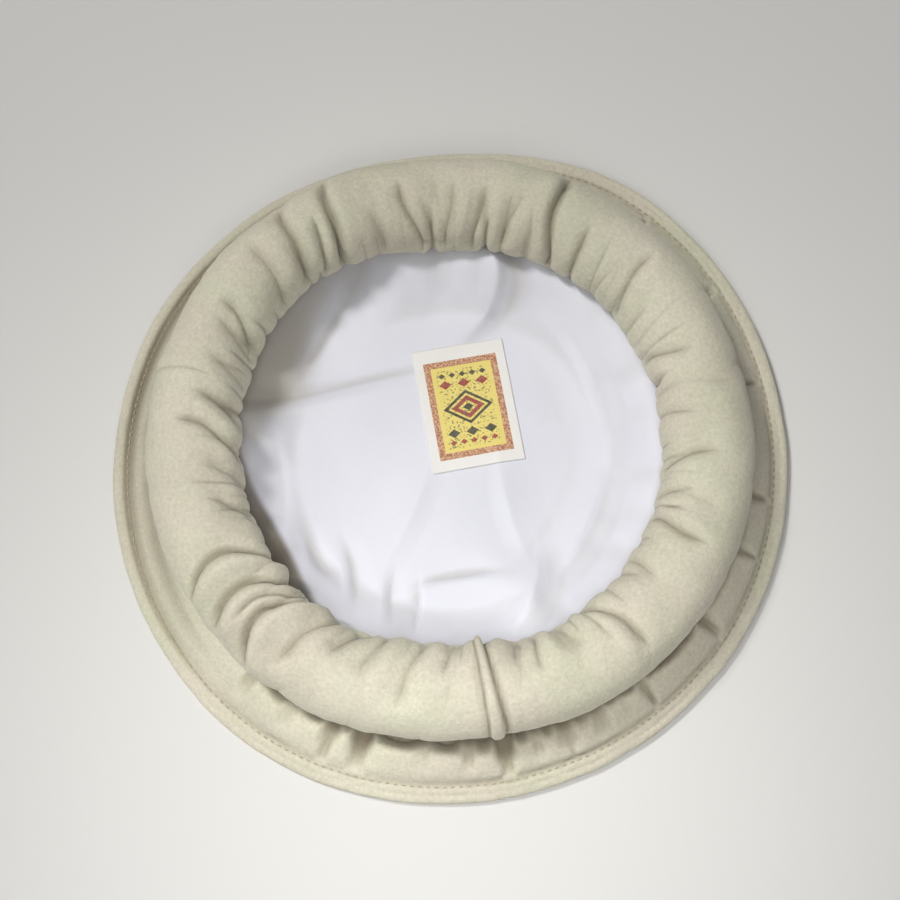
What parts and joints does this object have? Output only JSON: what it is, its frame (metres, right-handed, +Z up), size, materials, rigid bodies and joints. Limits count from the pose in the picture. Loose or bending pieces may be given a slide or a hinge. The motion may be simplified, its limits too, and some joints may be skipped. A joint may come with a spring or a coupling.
{
  "type": "pakol",
  "caption": "Soft round woollen cap with a wide flat crown, a thick rolled brim, a white lining and a sewn label, lying on its crown.",
  "frame": {"origin": "middle of the flat crown, on the surface that the cap lies on, crown down", "axes": "+Z up, from the crown out of the head opening; +X and +Y in the surface, with the brim's closing seam near -Y"},
  "size_m": [0.3002, 0.2976, 0.0538],
  "materials": {
    "wool_cloth": "matte, thick fulled wool cloth of undyed cream with a slight nap",
    "rolled_wool": "matte, the same undyed wool cloth, wound into a padded roll",
    "lining_cloth": "soft sheen, thin white lining cloth",
    "label_cloth": "woven label, white edge and yellow panel with a red-brown frame"
  },
  "bodies": {
    "root": {"crown_top": "wool_cloth", "crown_side": "wool_cloth", "rolled_brim": "rolled_wool", "lining": "lining_cloth", "label": "label_cloth"}
  },
  "joints": []
}
